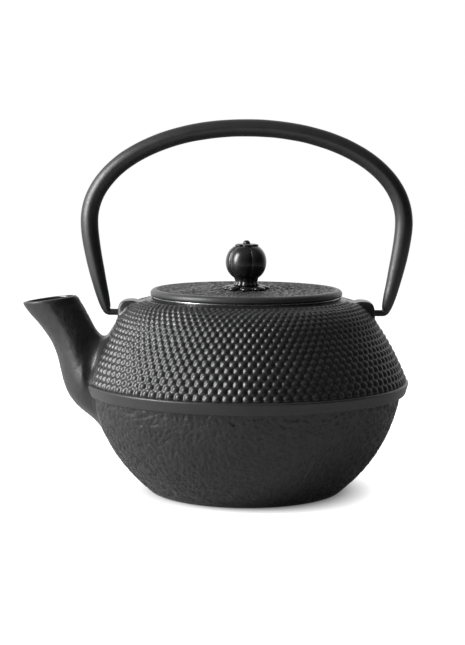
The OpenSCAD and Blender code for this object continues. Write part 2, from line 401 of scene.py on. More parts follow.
def steel_material(name, tone, rough_low, rough_high, stretch, depth):
    """Stainless steel with a fine brushed grain along one direction."""
    material, nodes, links, shader = new_material(name)
    brushed = noise_node(nodes, links, 1.2, detail=3, stretch=stretch)
    cloud = noise_node(nodes, links, 0.08, detail=2)
    shade = ranged(nodes, links, cloud.outputs["Fac"], 0, 1)
    darker = tuple(c * 0.88 for c in tone)
    links.new(colour_mix(nodes, links, shade, darker, tone), shader.inputs["Base Color"])
    shader.inputs["Metallic"].default_value = 1.0
    gloss = ranged(nodes, links, brushed.outputs["Fac"], rough_low, rough_high)
    links.new(gloss, shader.inputs["Roughness"])
    bump_chain(nodes, links, shader, [(brushed.outputs["Fac"], 0.3, depth)])
    return material


def grey(tone):
    """A near-black grey, a touch cool."""
    return tone, tone, tone + 0.001


SHOULDER_IRON = iron_material("shoulder_iron", grey(0.010), grey(0.018), 0.32, 0.42, 0.03)
BOWL_IRON = iron_material("bowl_iron", grey(0.007), grey(0.013), 0.34, 0.48, 0.09)
SPOUT_IRON = iron_material("spout_iron", grey(0.012), grey(0.020), 0.32, 0.46, 0.07)
SMOOTH_IRON = iron_material("smooth_iron", grey(0.015), grey(0.022), 0.36, 0.46, 0.015)
LID_IRON = iron_material("lid_iron", grey(0.018), grey(0.030), 0.36, 0.5, 0.09)
HANDLE_IRON = iron_material("handle_iron", grey(0.014), grey(0.020), 0.36, 0.46, 0.02)
ENAMEL = gloss_material("black_enamel", grey(0.008), grey(0.012), 0.16, 0.24, 0.03)
KNOB_GLOSS = gloss_material("knob_gloss", grey(0.008), grey(0.012), 0.24, 0.32, 0.02)
POLISHED_STEEL = steel_material("polished_steel", (0.74, 0.74, 0.75), 0.2, 0.32, (1, 1, 8), 0.006)
WIRE_STEEL = steel_material("wire_steel", (0.66, 0.66, 0.67), 0.24, 0.38, (1, 1, 1), 0.01)
SCREW_STEEL = steel_material("screw_steel", (0.6, 0.6, 0.6), 0.28, 0.42, (4, 1, 1), 0.01)


# ---------------------------------------------------------------- the pot's body
def core_outline():
    """The outline (r, z) of the pot without nails or band, from base to mouth."""
    lower = arc_between((BASE_R, 0), BOWL_TOP, BOWL_ARC_R, 60)
    shoulder, crown = tips_outline(80)
    return np.vstack([lower, sunk(np.vstack([shoulder, crown[1:]]))])


def tips_outline(n):
    """The outline over the hobnail tips: the shoulder's arc and the crown's arc."""
    shoulder = arc_between(SHOULDER_FOOT, SHOULDER_TOP, SHOULDER_ARC_R, n)
    crown = arc_between(SHOULDER_TOP, CROWN_TOP, CROWN_ARC_R, n)
    return shoulder, np.vstack([crown, [(SEAT_R, SEAT_Z)]])


def sunk(line):
    """The shoulder's outline let in to the mean level of the hobnails."""
    length = lengths(line)
    points, normals = resampled(line, length)
    depth = nail_height(points[:, 0]) * 0.55
    return points - normals * depth[:, None]


def nail_pitch(r):
    return TAU * r / NAILS_PER_ROW


def nail_height(r):
    """How far a hobnail at radius r stands out, fading to nothing at the smooth land."""
    mean_pitch = (nail_pitch(r) + nail_pitch(BAND_WIDEST[0])) / 2
    return NAIL_HEIGHT * mean_pitch * smoothstep(NAILS_END_R, NAILS_END_R + NAILS_FADE, r)


CORE = core_outline()
CORE_R = lambda z: np.interp(z, CORE[:, 1], CORE[:, 0])
CORE_SLOPE = lambda z: (CORE_R(z + 0.3) - CORE_R(z - 0.3)) / 0.6


def core_distance(p):
    """Distance of points outside the pot's plain body, measured along its surface normal."""
    r = np.hypot(p[..., 0], p[..., 1])
    return (r - CORE_R(p[..., 2])) / np.sqrt(1 + CORE_SLOPE(p[..., 2]) ** 2)


def nails(theta, row, ratio, seed=5):
    """The hobnail pattern from 0 to 1 at angle theta and row number row (both arrays)."""
    best = np.zeros(np.broadcast(theta, row).shape)
    turn = theta / TAU * NAILS_PER_ROW
    for step in (-1, 0, 1):
        k = np.floor(row) + step
        offset = 0.5 * np.mod(k, 2)
        number = np.round(turn - offset)
        wobble = np.sin(number * 12.9898 + k * 78.233 + seed) * 43758.5453
        wobble = wobble - np.floor(wobble)
        across = turn - offset - number + 0.05 * (wobble - 0.5)
        along = (row - k - 0.5) * ratio
        d = np.hypot(across, along * 0.94) / 0.49
        bump = np.maximum(1 - d * d, 0)
        bump = bump * (0.92 + 0.16 * (wobble - 0.5))
        inside = (k >= 0) & (k < NAIL_ROWS)
        best = np.maximum(best, np.where(inside, bump, 0))
    return np.minimum(best, 1)


def lug_rise(points, profile):
    """How far the lug stands out at the crown, away from the crown arc's centre."""
    centre = CROWN_CENTRE
    radius = np.hypot(profile[:, 0] - centre[0], profile[:, 1] - centre[1])
    c = np.abs(profile[:, 0] - centre[0]) / radius
    s = np.abs(profile[:, 1] - centre[1]) / radius
    power = 10
    reach = ((c / (LUG_FACE_X - centre[0])) ** power
             + (s / (LUG_TOP_Z - centre[1])) ** power) ** (-1 / power)
    rise = reach - radius
    rise = 0.5 * (rise + np.sqrt(rise * rise + 0.15))
    rise = rise * smoothstep(53.4, 57.0, profile[:, 0]) * smoothstep(84.0, 86.5, profile[:, 1])
    side = np.abs(points[..., 1])
    window = 1 - smoothstep(LUG_HALF_W - 1.6, LUG_HALF_W + 0.4, side)
    return rise[:, None] * window


CROWN_CENTRE = np.array([43.43, 73.34])


def outline_mask(y, z, ring, margin):
    """0 inside the closed ring of (y, z) points, rising to 1 at margin outside it."""
    mask = np.ones(y.shape)
    near = ((np.abs(y) < np.abs(ring[:, 0]).max() + margin)
            & (z > ring[:, 1].min() - margin) & (z < ring[:, 1].max() + margin))
    p = np.stack([y[near], z[near]], axis=-1)
    a, b = ring, np.roll(ring, -1, axis=0)
    distance = np.full(len(p), 1e9)
    inside = np.zeros(len(p), bool)
    for start, end in zip(a, b):
        edge = end - start
        t = np.clip(((p - start) @ edge) / (edge @ edge), 0, 1)
        distance = np.minimum(distance, np.linalg.norm(p - (start + t[:, None] * edge), axis=1))
        crosses = (start[1] > p[:, 1]) != (end[1] > p[:, 1])
        with np.errstate(divide="ignore", invalid="ignore"):
            x_cross = start[0] + (p[:, 1] - start[1]) / (end[1] - start[1]) * edge[0]
        inside ^= crosses & (p[:, 0] < x_cross)
    mask[near] = np.where(inside, 0, smoothstep(0, margin, distance))
    return mask


# ---------------------------------------------------------------- the spout
def spout_half_w(t):
    return ((MOUTH_HALF_W + (ROOT_HALF_W - MOUTH_HALF_W) * t * t)
            * np.sqrt(1 - ROOT_CLOSING * t ** 8))


def spout_section(t, inset, reach, sides, power=2.0, lift=0.0):
    """Rings of the spout at fractions t from mouth to root, drawn in by inset."""
    front = bezier(SPOUT_FRONT, t)
    back = bezier(SPOUT_BACK, t)
    t = np.atleast_1d(t)
    inset, reach, lift = (np.broadcast_to(v, t.shape) for v in (inset, reach, lift))
    a = np.arange(sides) / sides * TAU
    c = np.sign(np.cos(a)) * np.abs(np.cos(a)) ** (2 / power)
    s = np.sign(np.sin(a)) * np.abs(np.sin(a)) ** (2 / power)
    share = (1 - c) / 2
    fx, fz = front[:, :1] + inset[:, None], front[:, 1:] + lift[:, None]
    bx, bz = back[:, :1] + (reach - inset)[:, None], back[:, 1:] + lift[:, None]
    w = (spout_half_w(t) - inset)[:, None]
    return np.stack([fx + (bx - fx) * share, w * s, fz + (bz - fz) * share], axis=-1)


def spout_surface(sides=112, steps=72):
    """The outside of the spout, from just under its lip to where it flares into the body."""
    fine = np.linspace(0, 1, 400)
    grid = spout_section(fine, 0, 0, sides, power=1.65)
    du = np.roll(grid, -1, axis=1) - np.roll(grid, 1, axis=1)
    dt = np.gradient(grid, axis=0)
    normal = np.cross(dt, du)
    normal /= np.maximum(np.linalg.norm(normal, axis=2, keepdims=True), 1e-9)
    middle = grid.mean(axis=1, keepdims=True)
    flip = np.sign(((grid - middle) * normal).sum(axis=(1, 2)))
    normal *= flip[:, None, None]
    distance = core_distance(grid)
    angle = np.arange(sides) / sides * TAU
    side = np.abs(np.sin(angle))
    fillet = 2.4 + 5.4 * side ** 2 + 7.0 * (np.cos(angle) < 0) * (1 - side ** 2)
    share = np.linspace(0, 1, steps)
    share = 1 - (1 - share) ** 1.6
    rings = np.zeros((steps, sides, 3))
    for k in range(sides):
        inside = np.nonzero(distance[:, k] < 0)[0]
        first = inside[0]
        d0, d1 = distance[first - 1, k], distance[first, k]
        root = fine[first - 1] + (fine[first] - fine[first - 1]) * d0 / (d0 - d1)
        t = root * share
        p = np.stack([np.interp(t, fine, grid[:, k, i]) for i in range(3)], axis=-1)
        n = np.stack([np.interp(t, fine, normal[:, k, i]) for i in range(3)], axis=-1)
        d = np.maximum(np.interp(t, fine, distance[:, k]), 0)
        rings[:, k] = flared(p, n, d, fillet[k])
    rings = relaxed(rings)
    flat = rings.reshape(-1, 3)
    rough = 0.6 * value_noise(flat, 1.6, seed=51) + 0.4 * value_noise(flat, 0.9, seed=52)
    inward = rings.mean(axis=1, keepdims=True) - rings
    inward /= np.linalg.norm(inward, axis=2, keepdims=True)
    share = np.linspace(0, 1, steps)
    depth = 0.16 * smoothstep(0, 0.08, share) * (1 - smoothstep(0.85, 0.97, share))
    return rings + inward * (depth[:, None] * (1 + rough.reshape(steps, sides)))[..., None]


def relaxed(rings, rounds=120):
    """Evens out the fillet's grid towards the root, whose last ring stays where it is."""
    pull = 0.5 * smoothstep(0.35, 0.8, np.linspace(0, 1, len(rings)))[1:-1, None, None]
    for _ in range(rounds):
        middle = rings[1:-1]
        around = (np.roll(middle, 1, axis=1) + np.roll(middle, -1, axis=1) + rings[:-2] + rings[2:]) / 4
        rings = np.concatenate([rings[:1], middle + pull * (around - middle), rings[-1:]])
    return rings


def flared(p, n, d, rho):
    """Moves points at distance d from the body outwards over it, on a round fillet."""
    r = np.hypot(p[:, 0], p[:, 1])
    slope = CORE_SLOPE(p[:, 2])
    body = np.stack([p[:, 0] / r, p[:, 1] / r, -slope], axis=-1)
    body /= np.linalg.norm(body, axis=1)[:, None]
    along = n - (n * body).sum(axis=1)[:, None] * body
    along /= np.maximum(np.linalg.norm(along, axis=1), 1e-6)[:, None]
    near = np.clip(1 - d / rho, 0, 1)
    shift = rho * (1 - np.sqrt(1 - (near * 0.995) ** 2))
    moved = p + along * shift[:, None]
    far = np.hypot(moved[:, 0], moved[:, 1])
    wanted = CORE_R(moved[:, 2]) + (d - 0.12) * np.sqrt(1 + CORE_SLOPE(moved[:, 2]) ** 2)
    blend = smoothstep(0, 0.3, near)
    scale = 1 + (wanted / far - 1) * blend
    moved[:, 0] *= scale
    moved[:, 1] *= scale
    return moved


SPOUT_RINGS = spout_surface()
SPOUT_ROOT = SPOUT_RINGS[-1][:, 1:]


def root_cap(root, rings=6, depth=2.0):
    """Rings that close the spout's root, inside the thickness of the pot's wall."""
    centre = root[:, 1:].mean(axis=0)
    # An apron under the body's surface hides the fold at the root
    out = root[:, 1:] - centre
    out = root[:, 1:] + out / np.linalg.norm(out, axis=1)[:, None] * 0.8
    r = CORE_R(out[:, 1]) - 0.75
    caps = [np.stack([-np.sqrt(r * r - out[:, 0] ** 2), out[:, 0], out[:, 1]], axis=-1)]
    for k in range(1, rings + 1):
        share = 1 - k / (rings + 1)
        yz = centre + (root[:, 1:] - centre) * share
        r = CORE_R(yz[:, 1]) - depth
        caps.append(np.stack([-np.sqrt(r * r - yz[:, 0] ** 2), yz[:, 0], yz[:, 1]], axis=-1))
    r = CORE_R(centre[1]) - depth
    return np.array(caps), np.array([-math.sqrt(r * r - centre[0] ** 2), *centre])


def make_spout():
    """The spout as one closed solid, before its channel is cut."""
    sides = SPOUT_RINGS.shape[1]
    lip_inset = np.array([1.25, 0.75, 0.35, 0.08])
    lip_drop = np.array([0.0, 0.05, 0.25, 0.6])
    lip = spout_section(np.zeros(4), lip_inset, 0, sides, power=1.85, lift=-lip_drop)
    body = SPOUT_RINGS[2:]
    caps, centre = root_cap(SPOUT_RINGS[-1])
    rings = np.vstack([lip, body, caps])
    return radial_solid("pot_spout", rings, [SPOUT_IRON, ENAMEL], end=centre)


def make_channel():
    """The solid that is cut out of spout and pot to make the spout's channel."""
    sides = 96
    t = np.linspace(CHANNEL_END, 0.02, 60)
    inset = SPOUT_WALL - 0.5 * (1 - t / CHANNEL_END) ** 2
    inner = spout_section(t, inset, CHANNEL_REACH * t, sides, power=1.9)
    flare_inset = np.array([1.8, 1.45, 1.3])
    flare_lift = np.array([-0.15, 0.05, 2.0])
    mouth = spout_section(np.zeros(3), flare_inset, 0, sides, power=1.9, lift=flare_lift)
    rings = np.vstack([inner, mouth])
    return radial_solid("channel_cutter", rings, [ENAMEL])


# ---------------------------------------------------------------- shoulder, bowl and lining
def away_from_spout(points, margin):
    """0 under the spout's root, rising to 1 at margin outside it."""
    mask = outline_mask(points[..., 1], points[..., 2], SPOUT_ROOT, margin)
    return np.where(points[..., 0] < 0, mask, 1)


def make_shoulder():
    """The hobnailed shoulder, the land round the mouth and the two lugs, as a closed solid."""
    shoulder, crown = tips_outline(80)
    line = np.vstack([shoulder, crown[1:]])
    length = lengths(line)
    nails_end = np.interp(-NAILS_END_R, -line[:, 0], length)
    # Row number along the outline: rows shrink with the radius, as the pitch does
    s = np.linspace(0, nails_end, 2000)
    r = np.interp(s, length, line[:, 0])
    rows = np.r_[0, np.cumsum(np.diff(s) / nail_pitch((r[1:] + r[:-1]) / 2))]
    ratio = rows[-1] / NAIL_ROWS
    row = np.arange(NAIL_ROWS * SAMPLES_PER_ROW + 1) / SAMPLES_PER_ROW
    distances = np.interp(row * ratio, rows, s)
    points, normals = resampled(line, distances)
    count = NAILS_PER_ROW * SAMPLES_PER_NAIL
    theta = np.arange(count) / count * TAU
    height = nail_height(points[:, 0])
    pattern = nails(theta[None, :], row[:, None], ratio)
    plain = turned(points, theta)
    root_clear = away_from_spout(plain, 9.0)
    lug_y = smoothstep(LUG_HALF_W - 0.5, LUG_HALF_W + 1.5, np.abs(plain[..., 1]))
    lug_z = 1 - smoothstep(85.0, 87.5, points[:, 1])
    lug_clear = np.maximum(lug_y, lug_z[:, None])
    clear = np.minimum(root_clear, lug_clear)
    level = -height[:, None] * (1 - (clear * pattern + (1 - clear) * 0.45))
    rough = value_noise(plain.reshape(-1, 3), 0.9, seed=3).reshape(level.shape)
    level += 0.035 * rough * np.minimum(1, height[:, None])
    r = points[:, :1] + normals[:, :1] * level
    z = points[:, 1:] + normals[:, 1:] * level
    # Lugs: raised away from the centre of the crown's arc
    rise = lug_rise(plain, points)
    away = points - CROWN_CENTRE
    away /= np.linalg.norm(away, axis=1)[:, None]
    r = r + rise * away[:, :1]
    z = z + rise * away[:, 1:]
    outer = polar(r, theta, z)
    land = [(51.0, 96.55), (49.0, 97.1), (SEAT_R + 0.2, SEAT_Z - 0.12), (SEAT_R - 0.4, SEAT_Z),
            (MOUTH_R + 0.6, SEAT_Z), (MOUTH_R + 0.1, SEAT_Z - 0.3), (MOUTH_R, SEAT_Z - 0.9),
            (MOUTH_R, MOUTH_LIP_Z + 1.8)]
    back = [(MOUTH_R + 2.5, MOUTH_LIP_Z + 0.6), (56.0, 92.6), (64.6, 82.6), (76.9, 60.5),
            (77.2, 55.6), (79.6, 55.6)]
    rings = np.concatenate([outer, turned(land, theta), turned(back, theta)])
    faces = grid_faces(len(rings), count, close_rows=True)
    return mesh_object("pot_shoulder", rings.reshape(-1, 3), faces, [SHOULDER_IRON, ENAMEL])


def make_bowl():
    """The textured bowl and the band, as a closed solid."""
    count = 800
    theta = np.arange(count) / count * TAU
    bowl = arc_between((BASE_R, 0), BOWL_TOP, BOWL_ARC_R, 96)
    length = lengths(bowl)
    points, normals = resampled(bowl, length)
    plain = turned(points, theta)
    flat = plain.reshape(-1, 3)
    warp = np.stack([value_noise(flat, 2.6, seed=k) for k in (11, 12, 13)], axis=-1)
    creased = flat + warp * 1.0
    coarse = 1 - 2.2 * np.abs(value_noise(creased, 1.55, seed=21))
    fine = 1 - 2.2 * np.abs(value_noise(creased, 1.0, seed=22))
    wrinkle = (0.32 * coarse + 0.22 * fine - 0.25).reshape(plain.shape[:2])
    clear = away_from_spout(plain, 4.0)
    fade = smoothstep(0.2, 3.0, points[:, 1]) * (1 - 0.6 * smoothstep(49.3, 50.1, points[:, 1]))
    level = (wrinkle - 0.29) * clear * fade[:, None]
    r = points[:, :1] + normals[:, :1] * level
    z = points[:, 1:] + normals[:, 1:] * level
    outer = polar(r, theta, np.maximum(z, 0))
    band = band_rings(theta)
    under = [(30.0, 0.0), (40.0, 0.0), (46.5, 0.0), (BASE_R - 0.5, 0.0)]
    back = [(78.0, 56.0), (76.1, 55.6), (76.9, 50.0), (74.0, 40.0), (66.0, 24.0), (54.5, 9.0),
            (44.0, 2.2), (30.0, 2.2)]
    rings = np.concatenate([turned(under, theta), outer[1:], band, turned(back, theta)])
    faces = grid_faces(len(rings), count, close_rows=False)
    points = np.vstack([rings.reshape(-1, 3), [(0, 0, 0), (0, 0, 2.2)]])
    first, last = len(points) - 2, len(points) - 1
    faces += [(first, (k + 1) % count, k) for k in range(count)]
    base = (len(rings) - 1) * count
    faces += [(last, base + k, base + (k + 1) % count) for k in range(count)]
    obj = mesh_object("pot_bowl", points, faces, [BOWL_IRON, ENAMEL, SMOOTH_IRON])
    start = (len(under) + len(outer) - 2) * count
    material = np.zeros(len(obj.data.polygons), np.int32)
    material[start:start + (len(band) + 1) * count] = 2
    obj.data.polygons.foreach_set("material_index", material)
    return obj


def band_rings(theta):
    """The band between bowl and shoulder, which ends in a rounded end on each side of the spout."""
    outer = [(78.15, 50.0), (79.0, 50.05), (79.9, 50.15), (80.4, 50.35), (80.68, 50.8), (80.9, 51.6),
             (81.2, 52.7), (81.5, 53.8), (81.8, 54.7), (81.95, 55.3), (81.9, 55.7), (81.5, 56.05),
             (80.7, 56.3), (79.6, 56.45)]
    outer = np.array(outer)
    core = CORE_R(outer[:, 1]) - 0.1
    core_r = np.minimum(outer[:, 0], core)
    angle = np.abs(np.angle(np.exp(1j * (theta - math.pi))))
    along = angle * 80.0
    half_height = (outer[-1, 1] - outer[0, 1]) / 2
    middle = (outer[-1, 1] + outer[0, 1]) / 2
    # The end is half a circle, so each height starts at its own distance from the spout
    lag = half_height - np.sqrt(np.maximum(half_height ** 2 - (outer[:, 1] - middle) ** 2, 0))
    start = 25.0 + lag
    present = smoothstep(-0.6, 0.6, along[None, :] - start[:, None])
    r = core_r[:, None] + (outer[:, :1] - core_r[:, None]) * present
    return polar(r, theta, outer[:, 1:])


def make_lining():
    """The black enamel inside the pot, as a thin closed layer."""
    inside = np.vstack([
        arc_between((CAVITY_FLOOR_R, FLOOR_Z), CAVITY_WAIST, BOWL_ARC_R - WALL, 40),
        arc_between(CAVITY_WAIST, CAVITY_SHOULDER, SHOULDER_ARC_R - WALL, 16)[1:],
        arc_between(CAVITY_SHOULDER, CAVITY_CROWN, CROWN_ARC_R - WALL, 12)[1:],
        np.array([MOUTH_R, MOUTH_LIP_Z]) + [(2.2, 0.1), (0.6, 0.6), (0.05, 1.7)],
    ])
    start = np.array([(0, FLOOR_Z), (20, FLOOR_Z), (38, FLOOR_Z)])
    inner = np.vstack([start, inside])
    length = lengths(inner)
    points, normals = resampled(inner, length)
    outer = points + normals * 0.5
    outer[0, 0] = 0
    profile = np.vstack([outer, inner[::-1]])
    profile[-1] = (0, FLOOR_Z)
    return lathe("pot_lining", profile, [ENAMEL], steps=216)


def make_pin_hole(side):
    """The solid that is cut out of a lug for the handle's pin."""
    a = np.arange(40) / 40 * TAU
    wide = PIN_HOLE_R + 0.7
    stations = [(HOLE_END_X + 0.1, PIN_HOLE_R), (LUG_FACE_X - 0.3, PIN_HOLE_R),
                (LUG_FACE_X + 0.6, wide), (LUG_FACE_X + 4, wide)]
    rings = [np.stack([side * x + 0 * a, side * r * np.cos(a), HINGE_Z + r * np.sin(a)], axis=-1)
             for x, r in stations]
    return radial_solid("hole_cutter", rings, [SMOOTH_IRON])


def make_pot():
    """The pot's pieces, with the spout's channel and the pins' holes cut through them."""
    channel = make_channel()
    shoulder = make_shoulder()
    for side in (-1, 1):
        hole = make_pin_hole(side)
        cut(shoulder, hole)
        bpy.data.objects.remove(hole)
    for piece in (shoulder, make_bowl(), make_lining(), make_spout()):
        cut(piece, channel)
        place(piece, "pot", "pot", "pot_iron")
    bpy.data.objects.remove(channel)


# ---------------------------------------------------------------- lid and knob
def make_lid():
    """The lid: a sand-cast top, a smooth rounded rim, and a skirt under it."""
    lid_z, top_z, radius = RIM_HIGH[2], LID_HIGH[2], LID_HIGH[0]
    theta = np.arange(520) / 520 * TAU
    edge_r = radius - 2.6
    top_r = np.linspace(SCREW_R + 0.3, edge_r, 104)
    fade = smoothstep(0, 1.5, edge_r - top_r) * smoothstep(ROSETTE_R - 4, ROSETTE_R - 3, top_r)
    flat = turned(np.stack([top_r, 0 * top_r + top_z], axis=-1), theta)
    spots = value_noise(flat.reshape(-1, 3), 1.0, seed=31)
    lumps = value_noise(flat.reshape(-1, 3), 1.9, seed=32)
    grain = (0.4 * np.clip(spots * 1.8, -0.4, 1) + 0.14 * lumps).reshape(flat.shape[:2])
    flat[..., 2] += (grain - 0.56) * fade[:, None] - 0.02
    edge = np.vstack([
        arc_between((radius, lid_z + 1.9), (edge_r + 0.3, top_z - 0.02), 2.6, 7)[::-1],
        arc_between((radius - 1, lid_z), (radius, lid_z + 1.1), 1.2, 5)[::-1],
    ])
    foot_z = LID_LOW[2]
    under = [(SKIRT_R + 0.5, lid_z), (SKIRT_R, lid_z - 0.5), (SKIRT_R - 0.4, foot_z + 0.6),
             (SKIRT_R - 0.9, foot_z), (SKIRT_R - 2.2, foot_z), (SKIRT_R - 2.7, foot_z + 0.6),
             (SKIRT_R - 3, lid_z - 0.6), (SKIRT_R - 3.6, lid_z), (20.0, lid_z), (SCREW_R + 0.3, lid_z)]
    rings = np.concatenate([flat, turned(edge, theta), turned(under, theta)])[::-1]
    faces = grid_faces(len(rings), len(theta), close_rows=True)
    obj = mesh_object("lid_plate", rings.reshape(-1, 3), faces, [LID_IRON])
    place(obj, "lid", "lid", "lid_iron")


def place(obj, body, node, slot):
    """Makes a piece ride a body and stand in for a CAD node, whose part it hides; slot is not used."""
    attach(obj, body)
    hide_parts(node)


def lobes(theta, count, first, depth, sharpness=0.5):
    """1 on the middle of each lobe, less by depth in the grooves between them."""
    u = np.mod((theta - first) / TAU * count, 1)
    from_groove = 2 * np.minimum(u, 1 - u)
    return 1 - depth * (1 - (1 - (1 - from_groove) ** 2) ** sharpness)


def make_knob():
    """The knob: neck, lobed ball with its parting line, and a calyx with a nub, on a bore."""
    bottom, top = KNOB_LOW[2], KNOB_HIGH[2]
    middle, half_h, radius = KNOB_MIDDLE_Z, KNOB_HALF_H, KNOB_LOBE_R + 0.15
    theta = np.arange(320) / 320 * TAU
    first_groove = math.radians(-90 + 16)
    plain = np.ones(len(theta))
    ball = lobes(theta, KNOB_LOBES, first_groove, 0.15, 0.3)
    neck = lobes(theta, 2 * KNOB_LOBES, first_groove, 0.07, 0.8)
    petals = lobes(theta, KNOB_LOBES, first_groove + 0.5, 0.30, 0.45)
    rings = []

    def ring(r, z, shape):
        rings.append(polar(r * shape, theta, z))

    bore_r, bore_top = SCREW_R + 0.1, SCREW_TOP_Z + 1
    ring(0.05, bore_top, plain)
    ring(bore_r, bore_top, plain)
    ring(bore_r, bottom, plain)
    ring(6.3, bottom, neck)
    for r, z in ((6.5, 0.25), (6.45, 0.7), (6.0, 1.3), (5.8, 1.9), (5.85, 2.6)):
        ring(r, bottom + z, neck)
    low, high = math.radians(-56), math.radians(56)
    for a in np.unique(np.r_[np.linspace(low, high, 56), np.linspace(-0.13, 0.13, 27)]):
        z = middle + half_h * math.sin(a) / math.sin(high) * 0.93
        seam = 0.025 * sum(math.exp(-((z - middle - side * 0.28) / 0.11) ** 2) for side in (1, -1))
        ring(radius * math.cos(a) ** 0.86 - seam, z, ball)
    shoulder = middle + half_h * 0.93
    for r, z in ((5.4, 0.12), (5.9, 0.15), (6.1, 0.4), (6.05, 0.75), (5.7, 1.1), (4.9, 1.3),
                 (3.9, 1.25), (2.6, 1.2)):
        ring(r, shoulder + z, petals)
    for r, z in ((1.95, 1.35), (1.8, 1.9), (1.65, 2.3), (1.3, 2.75), (0.8, 3.02), (0.3, 3.12)):
        ring(r, min(shoulder + z, top), 0.3 * petals + 0.7)
    obj = radial_solid("knob_ball", rings, [KNOB_GLOSS])
    place(obj, "lid", "knob", "knob_gloss")


def make_rosette():
    """The washer under the knob: a ring of domed round petals."""
    low, high = (corner[2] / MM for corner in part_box("knob_rosette"))
    petal_r = 3.4
    petal_c = ROSETTE_R - petal_r
    theta = np.arange(384) / 384 * TAU
    phi = np.mod(theta * ROSETTE_PETALS / TAU + 0.5, 1) - 0.5
    phi = phi * TAU / ROSETTE_PETALS
    outline = petal_c * np.cos(phi) + np.sqrt(petal_r ** 2 - (petal_c * np.sin(phi)) ** 2)
    rings = []
    bore = SCREW_R + 0.3
    for share in np.linspace(0, 1, 34):
        r = bore + (outline - bore) * share
        d = np.hypot(r * np.cos(phi) - petal_c, r * np.sin(phi)) / petal_r
        dome = np.sqrt(np.maximum(0, 1 - np.minimum(d, 1) ** 2))
        inner = 1 - smoothstep(5.6, 6.6, r)
        z = low + 0.25 + (high - low - 0.3) * np.maximum(dome, inner * 0.97)
        rings.append(polar(r, theta, z))
    for share, z in ((1.0, low), (0.5, low), (0.0, low)):
        r = bore + (outline - bore) * share
        rings.append(polar(r, theta, z))
    rings = np.array(rings)[::-1]
    faces = grid_faces(len(rings), len(theta), close_rows=True)
    obj = mesh_object("rosette", rings.reshape(-1, 3), faces, [KNOB_GLOSS])
    place(obj, "lid", "knob_rosette", "knob_gloss")


def make_fasteners():
    """The screw that holds the knob, with its slot and thread, and the washer under it."""
    (_, _, low), (_, _, top) = (np.array(corner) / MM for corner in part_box("knob_screw"))
    head_z = low + 2.4
    profile = [(0, low + 0.25), (1.6, low + 0.1), (2.6, low + 0.45), (3.4, low + 1.1), (3.75, low + 1.6),
               (3.8, head_z - 0.15), (3.7, head_z), (SCREW_R, head_z)]
    pitch = 0.7
    z = head_z + 1.0
    while z < top - 1:
        profile += [(SCREW_R, z), (SCREW_R - 0.3, z + pitch / 2)]
        z += pitch
    profile += [(SCREW_R - 0.2, top - 0.4), (SCREW_R - 0.6, top), (0, top)]
    screw = lathe("screw", profile, [SCREW_STEEL], steps=72)
    half_w, deep = 0.5, 1.2
    corners = [(x, y, z) for z in (low - 1, low + deep) for y in (-half_w, half_w) for x in (-5, 5)]
    sides = [(0, 2, 3, 1), (4, 5, 7, 6), (0, 1, 5, 4), (2, 6, 7, 3), (0, 4, 6, 2), (1, 3, 7, 5)]
    cutter = mesh_object("slot_cutter", corners, sides, [SCREW_STEEL], smooth=False)
    cut(screw, cutter)
    bpy.data.objects.remove(cutter)
    place(screw, "lid", "knob_screw", "fastener_steel")
    (_, _, low), (radius, _, top) = (np.array(corner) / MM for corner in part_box("knob_washer"))
    inner = SCREW_R + 0.3
    washer = lathe("washer", [
        (inner, low + 0.1), (inner + 0.12, low), (radius - 0.25, low), (radius, low + 0.22),
        (radius, top - 0.1), (radius - 0.1, top), (inner + 0.1, top), (inner, top - 0.1),
    ], [SCREW_STEEL], steps=96)
    place(washer, "lid", "knob_washer", "fastener_steel")


# ---------------------------------------------------------------- handle
def bail_line():
    """The middle of the bar from the bend at the pin to the top, as rows of x, z and half sizes."""
    half_w, top_z = BAIL_HALF_W, BAIL_TOP_Z
    rows = []
    centre = np.array(LEG_FOOT) + BEND_R * np.array([-math.cos(BEND_END), math.sin(BEND_END)])
    for share in np.linspace(0, 1, 9)[:-1]:
        a = -math.pi / 2 + (math.pi / 2 - BEND_END) * share
        x, z = centre + BEND_R * np.array([math.cos(a), math.sin(a)])
        size = PIN_R + (FOOT_HALF_T - PIN_R) * share
        rows.append((x, z, size, size))
    leg = [LEG_FOOT, LEG_PULL, (half_w, LEG_HEAD_Z - LEG_HEAD_PULL), (half_w, LEG_HEAD_Z)]
    for t in np.linspace(0, 1, 41)[:-1]:
        x, z = bezier(leg, t)[0]
        share = 1 - (1 - t) ** 2
        rows.append((x, z, FOOT_HALF_T + (LEG_HALF_T - FOOT_HALF_T) * share,
                     FOOT_HALF_T + (BAR_HALF_DEPTH - FOOT_HALF_T) * share))
    for t in np.linspace(0, 1, 91):
        x = half_w * math.cos(math.pi / 2 * t) ** (2 / BAIL_POWER) if t < 1 else 0.0
        z = LEG_HEAD_Z + (top_z - LEG_HEAD_Z) * math.sin(math.pi / 2 * t) ** (2 / BAIL_POWER)
        rows.append((x, z, LEG_HALF_T + (TOP_HALF_T - LEG_HALF_T) * t, BAR_HALF_DEPTH))
    return np.array(rows)


